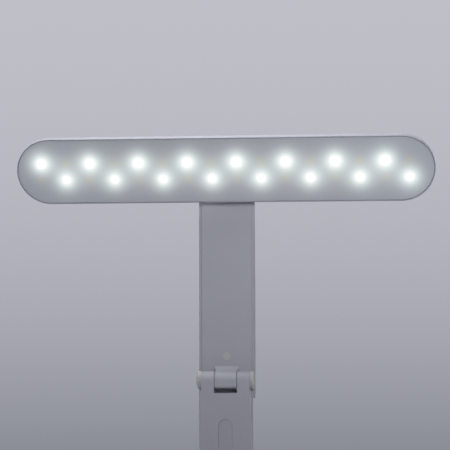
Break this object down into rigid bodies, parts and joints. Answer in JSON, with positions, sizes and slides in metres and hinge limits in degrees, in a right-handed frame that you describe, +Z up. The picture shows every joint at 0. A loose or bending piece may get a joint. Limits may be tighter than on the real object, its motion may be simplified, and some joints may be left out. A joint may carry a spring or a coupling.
{
  "type": "folding led desk lamp",
  "caption": "Folding desk lamp: a long pill-shaped LED head on two flat hinged arms, standing on a low pill-shaped weighted base with a push button.",
  "frame": {"origin": "on the surface the lamp stands on, under the middle of the base, on the lamp's centre plane", "axes": "+Z up; the lit face of the head looks towards -Y and 21 degrees down at rest; +X along the head, to the right when the lit face is looked at"},
  "size_m": [0.3, 0.165, 0.3773],
  "materials": {
    "shell_plastic": "fine moulded texture, pale lavender grey",
    "cap_plastic": "satin, neutral grey",
    "strip_plastic": "satin, pale lavender grey",
    "button_plastic": "satin, pale lavender grey",
    "painted_hinge": "die-cast, painted to match the arms",
    "opal_diffuser": "opal, lightly frosted",
    "bumper_rubber": "pale soft plug",
    "inner_plastic": "mid grey",
    "pad_rubber": "matte black",
    "plated_steel": "zinc plated",
    "socket_steel": "plain steel shell",
    "circuit_board": "green solder mask",
    "white_board": "white solder mask on aluminium",
    "battery_wrap": "blue film",
    "black_plastic": "black",
    "wire_sleeve": "black sleeve",
    "clear_plastic": "clear light pipe",
    "cream_plastic": "cream connector",
    "led_package": "cool white emitter",
    "warm_led_package": "warm white emitter"
  },
  "bodies": {
    "base": {"base_top_shell": "shell_plastic", "base_bottom_cover": "inner_plastic", "base_pad": "pad_rubber", "ballast_plate": "plated_steel", "base_screws": "plated_steel", "battery_pack": "battery_wrap", "control_board": "circuit_board", "usb_socket": "socket_steel", "base_wires": "wire_sleeve", "button_board": "circuit_board", "button_board_screws": "plated_steel", "tact_switch": "black_plastic", "status_led": "led_package", "status_light_pipe": "clear_plastic", "base_hinge_bracket": "painted_hinge", "bracket_screws": "plated_steel", "base_hinge_pin": "plated_steel", "base_hinge_nut": "plated_steel", "base_hinge_washers": "black_plastic", "base_hinge_caps": "cap_plastic"},
    "button": {"power_button": "button_plastic"},
    "lower_arm": {"lower_arm_shell": "shell_plastic", "lower_arm_front_cover": "shell_plastic", "touch_strip": "strip_plastic", "touch_board": "circuit_board", "lower_arm_foot": "painted_hinge", "lower_arm_screws": "plated_steel", "lower_arm_wires": "wire_sleeve", "mid_hinge_pin": "plated_steel", "mid_hinge_nut": "plated_steel", "mid_hinge_washers": "black_plastic", "mid_hinge_caps": "cap_plastic"},
    "upper_arm": {"upper_arm_shell": "shell_plastic", "upper_arm_front_panel": "shell_plastic", "mid_knuckle": "painted_hinge", "knuckle_screws": "plated_steel", "bumper": "bumper_rubber", "upper_arm_wires": "wire_sleeve", "head_hinge_pin": "plated_steel", "head_hinge_nut": "plated_steel", "head_hinge_washers": "black_plastic", "head_hinge_caps": "shell_plastic"},
    "head": {"head_housing": "shell_plastic", "diffuser": "opal_diffuser", "led_board": "white_board", "cool_leds": "led_package", "warm_leds": "warm_led_package", "head_bracket": "painted_hinge", "head_screws": "plated_steel", "board_connector": "cream_plastic", "head_wires": "wire_sleeve"}
  },
  "joints": [
    {"name": "base_hinge", "type": "hinge", "parent": "base", "child": "lower_arm", "pos_m": [0, -0.0425, 0.028], "axis": [-1, 0, 0], "range_deg": [-10, 90]},
    {"name": "mid_hinge", "type": "hinge", "parent": "lower_arm", "child": "upper_arm", "pos_m": [0, -0.0425, 0.203], "axis": [1, 0, 0], "range_deg": [0, 165]},
    {"name": "head_tilt", "type": "hinge", "parent": "upper_arm", "child": "head", "pos_m": [0, -0.0291, 0.362], "axis": [1, 0, 0], "range_deg": [-201, 3]},
    {"name": "power_press", "type": "slide", "parent": "base", "child": "button", "axis": [0, 0, -1], "range_m": [0, 0.0007], "stiffness_N_per_m": 1500}
  ]
}
